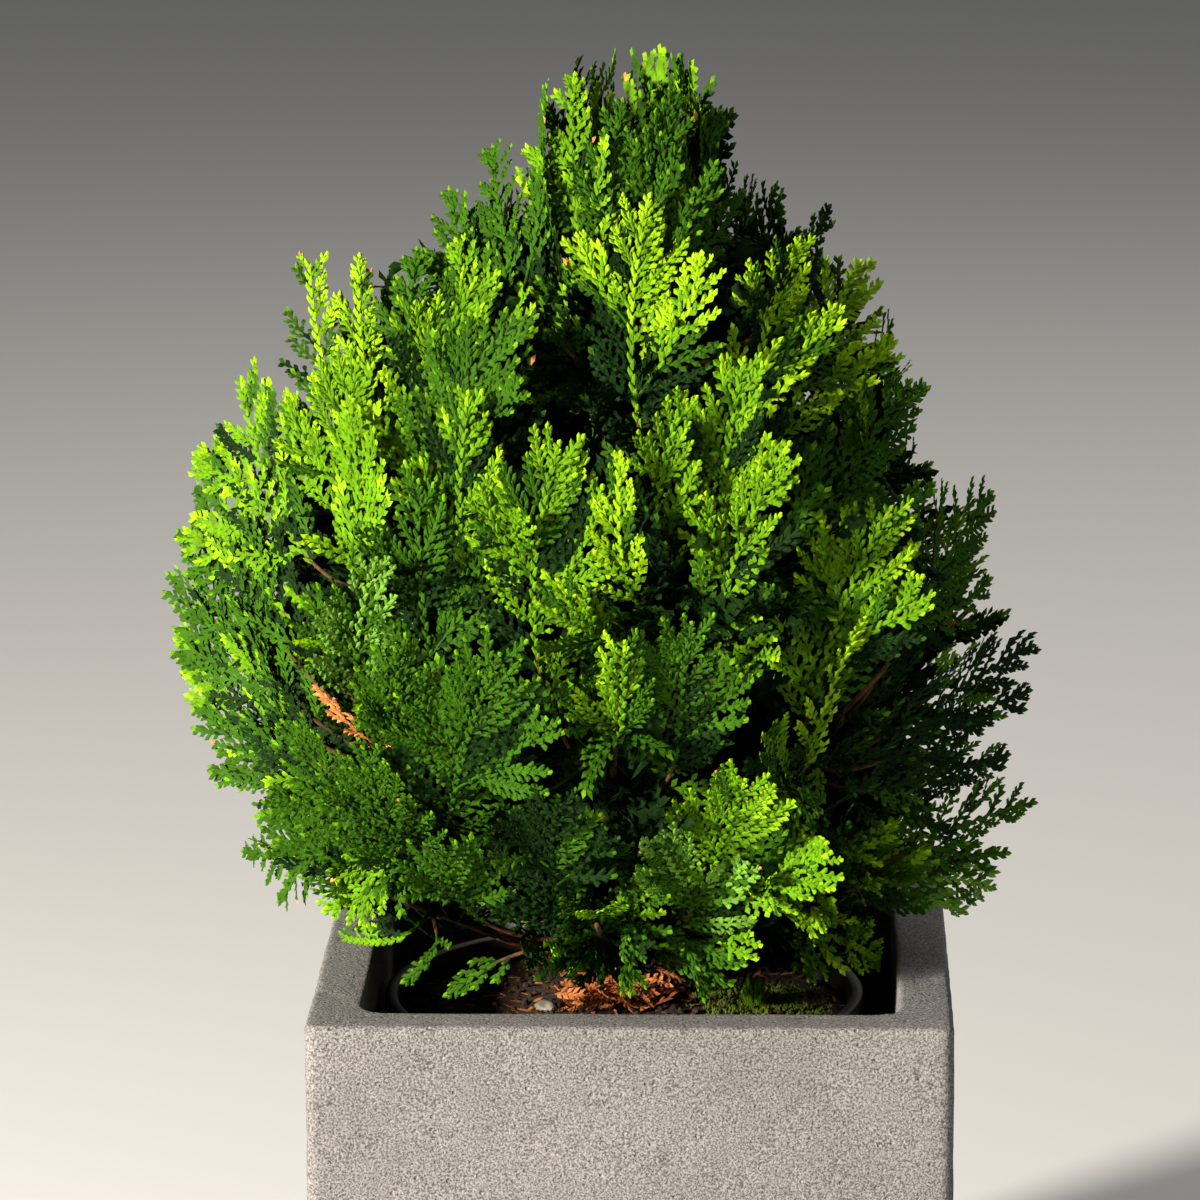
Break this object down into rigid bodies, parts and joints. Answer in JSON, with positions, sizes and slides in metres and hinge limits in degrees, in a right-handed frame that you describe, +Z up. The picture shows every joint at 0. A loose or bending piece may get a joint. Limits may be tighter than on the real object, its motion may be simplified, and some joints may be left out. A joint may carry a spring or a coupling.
{
  "type": "potted false cypress",
  "caption": "Dwarf false cypress with dense flat yellow-green sprays, in a round grow pot set inside a square grey fibre cement planter.",
  "frame": {"origin": "middle of the planter's flat underside", "axes": "+Z up along the trunk, the front towards -Y, +X to the right as seen from the front"},
  "size_m": [0.4192, 0.4129, 0.7325],
  "materials": {
    "fibre_cement": "matt cast fibre cement with a fine sandy grain",
    "pot_plastic": "matt dark moulded plastic",
    "compost": "dark crumbly compost with dead sprays and moss on it",
    "bark": "red-brown fibrous bark",
    "foliage": "scale-leaved sprays, yellow-green in the light and dark inside"
  },
  "bodies": {
    "root": {"planter": "fibre_cement", "grow_pot": "pot_plastic", "compost": "compost", "trunk": "bark", "bough_skirt_1": "bark", "bough_skirt_2": "bark", "bough_skirt_3": "bark", "bough_skirt_4": "bark", "bough_skirt_5": "bark", "bough_skirt_6": "bark", "bough_middle_1": "bark", "bough_middle_2": "bark", "bough_middle_3": "bark", "bough_middle_4": "bark", "bough_middle_5": "bark", "bough_middle_6": "bark", "bough_middle_7": "bark", "bough_middle_8": "bark", "bough_shoulder_1": "bark", "bough_shoulder_2": "bark", "bough_shoulder_3": "bark", "bough_shoulder_4": "bark", "bough_shoulder_5": "bark", "bough_shoulder_6": "bark", "bough_upper_1": "bark", "bough_upper_2": "bark", "bough_upper_3": "bark", "bough_upper_4": "bark", "foliage_skirt_1": "foliage", "foliage_skirt_2": "foliage", "foliage_skirt_3": "foliage", "foliage_skirt_4": "foliage", "foliage_skirt_5": "foliage", "foliage_skirt_6": "foliage", "foliage_middle_1": "foliage", "foliage_middle_2": "foliage", "foliage_middle_3": "foliage", "foliage_middle_4": "foliage", "foliage_middle_5": "foliage", "foliage_middle_6": "foliage", "foliage_middle_7": "foliage", "foliage_middle_8": "foliage", "foliage_shoulder_1": "foliage", "foliage_shoulder_2": "foliage", "foliage_shoulder_3": "foliage", "foliage_shoulder_4": "foliage", "foliage_shoulder_5": "foliage", "foliage_shoulder_6": "foliage", "foliage_upper_1": "foliage", "foliage_upper_2": "foliage", "foliage_upper_3": "foliage", "foliage_upper_4": "foliage", "foliage_top_1": "foliage", "foliage_top_2": "foliage"}
  },
  "joints": []
}
